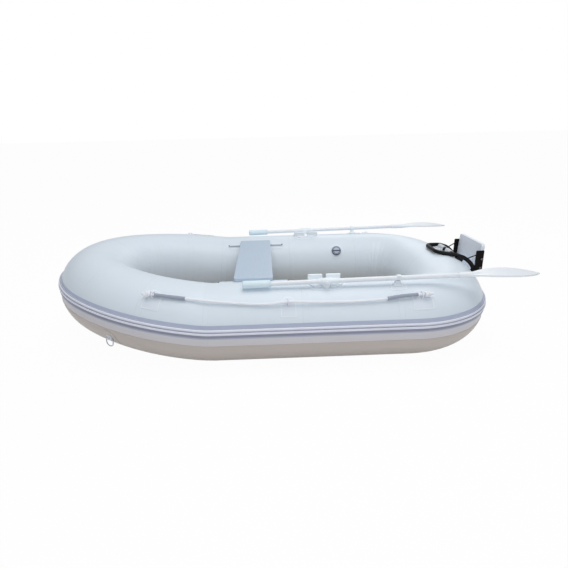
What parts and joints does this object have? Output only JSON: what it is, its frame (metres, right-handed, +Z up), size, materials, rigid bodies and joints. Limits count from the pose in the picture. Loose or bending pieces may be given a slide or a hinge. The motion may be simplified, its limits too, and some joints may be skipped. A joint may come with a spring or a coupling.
{
  "type": "inflatable dinghy",
  "caption": "Round-stern inflatable tender: one ring of air tube raised at the bow, sliding bench seat, stowed oars in swivelling oarlocks, grab lines and a motor bracket.",
  "frame": {"origin": "amidships on the centreline, on the underside of the bottom skin", "axes": "+X towards the stern, +Y to starboard, +Z up"},
  "size_m": [2.39, 1.3522, 0.4631],
  "materials": {
    "hull_pvc": "smooth coated cloth, satin",
    "blue_grey_tape": "coated cloth, satin",
    "strake_rubber": "extruded, satin",
    "plywood_slats": "varnished plywood",
    "seat_rods": "drawn",
    "grey_plastic": "moulded",
    "dark_plastic": "moulded",
    "stainless_steel": "plain",
    "seat_plywood": "painted plywood, satin",
    "white_oar_tube": "white coated",
    "grey_green_grip": "moulded",
    "pale_blade_plastic": "moulded",
    "white_rope": "braided",
    "sleeve_cloth": "tubular webbing",
    "webbing": "woven",
    "dark_ring_steel": "dark coated",
    "black_tube": "black coated",
    "plate_metal": "coated",
    "grey_board": "painted plywood",
    "black_rubber": "moulded",
    "white_saddle_cloth": "coated cloth"
  },
  "bodies": {
    "hull": {"bottom_skin": "hull_pvc", "bottom_wrap": "hull_pvc", "bracket_board": "grey_board", "bracket_bolts": "stainless_steel", "bracket_feet": "black_rubber", "bracket_frame": "black_tube", "bracket_plates": "plate_metal", "bracket_saddles": "white_saddle_cloth", "chamber_baffles": "hull_pvc", "floor_slats": "plywood_slats", "grab_line_knots": "white_rope", "grab_line_patches": "hull_pvc", "grab_line_rings": "dark_ring_steel", "grab_line_sleeves": "sleeve_cloth", "grab_line_webbing": "webbing", "oar_clip_pads": "hull_pvc", "port_air_chamber": "hull_pvc", "port_grab_line": "white_rope", "port_oar_clip": "grey_plastic", "port_oarlock_base": "grey_plastic", "port_oarlock_patch": "hull_pvc", "port_oarlock_pin": "stainless_steel", "port_seat_flap": "hull_pvc", "port_seat_rod": "seat_rods", "port_valve_body": "dark_plastic", "rubbing_strake": "strake_rubber", "starboard_air_chamber": "hull_pvc", "starboard_grab_line": "white_rope", "starboard_oar_clip": "grey_plastic", "starboard_oarlock_base": "grey_plastic", "starboard_oarlock_patch": "hull_pvc", "starboard_oarlock_pin": "stainless_steel", "starboard_seat_flap": "hull_pvc", "starboard_seat_rod": "seat_rods", "starboard_valve_body": "dark_plastic", "strake_tape": "blue_grey_tape", "tow_ring_patches": "hull_pvc", "tow_ring_webbing": "webbing", "valve_patches": "hull_pvc", "valve_poppets": "dark_plastic"},
    "seat": {"seat_board": "seat_plywood", "port_seat_runner": "grey_plastic", "starboard_seat_runner": "grey_plastic", "seat_screws": "stainless_steel"},
    "port_oarlock": {"port_oarlock_collar": "grey_plastic", "port_oarlock_nut": "dark_plastic"},
    "port_oar": {"port_oar_shaft": "white_oar_tube", "port_oar_grip": "grey_green_grip", "port_oar_blade": "pale_blade_plastic", "port_oar_stops": "grey_plastic"},
    "port_tow_loop": {"port_tow_ring": "dark_ring_steel"},
    "port_valve_lid": {"port_valve_cap": "dark_plastic"},
    "starboard_oarlock": {"starboard_oarlock_collar": "grey_plastic", "starboard_oarlock_nut": "dark_plastic"},
    "starboard_oar": {"starboard_oar_shaft": "white_oar_tube", "starboard_oar_grip": "grey_green_grip", "starboard_oar_blade": "pale_blade_plastic", "starboard_oar_stops": "grey_plastic"},
    "starboard_tow_loop": {"starboard_tow_ring": "dark_ring_steel"},
    "starboard_valve_lid": {"starboard_valve_cap": "dark_plastic"}
  },
  "joints": [
    {"name": "seat_slide", "type": "slide", "parent": "hull", "child": "seat", "axis": [1, 0, 0], "range_m": [-0.085, 0.085]},
    {"name": "port_oarlock_swivel", "type": "hinge", "parent": "hull", "child": "port_oarlock", "pos_m": [0.24995, -0.54018, 0.39356], "axis": [0, 0.2723, -0.9622], "range_deg": [0, 110]},
    {"name": "port_oar_feather", "type": "hinge", "parent": "port_oarlock", "child": "port_oar", "pos_m": [0.24995, -0.54018, 0.39356], "axis": [0.9999, -0.0043, 0.0151], "range_deg": [-90, 90]},
    {"name": "port_tow_ring_swing", "type": "hinge", "parent": "hull", "child": "port_tow_loop", "pos_m": [-0.76596, -0.54541, 0.14139], "axis": [0.8869, -0.4453, -0.1231], "range_deg": [-120, 20]},
    {"name": "port_valve_cap_turn", "type": "hinge", "parent": "hull", "child": "port_valve_lid", "pos_m": [0.439, -0.33259, 0.29598], "axis": [0, 0.8049, 0.5934], "range_deg": [0, 90]},
    {"name": "starboard_oarlock_swivel", "type": "hinge", "parent": "hull", "child": "starboard_oarlock", "pos_m": [0.24995, 0.54018, 0.39356], "axis": [0, 0.2723, 0.9622], "range_deg": [0, 110]},
    {"name": "starboard_oar_feather", "type": "hinge", "parent": "starboard_oarlock", "child": "starboard_oar", "pos_m": [0.24995, 0.54018, 0.39356], "axis": [-0.9999, -0.0043, -0.0151], "range_deg": [-90, 90]},
    {"name": "starboard_tow_ring_swing", "type": "hinge", "parent": "hull", "child": "starboard_tow_loop", "pos_m": [-0.76596, 0.54541, 0.14139], "axis": [-0.8869, -0.4453, 0.1231], "range_deg": [-120, 20]},
    {"name": "starboard_valve_cap_turn", "type": "hinge", "parent": "hull", "child": "starboard_valve_lid", "pos_m": [0.439, 0.33259, 0.29598], "axis": [0, -0.8049, 0.5934], "range_deg": [0, 90]}
  ]
}
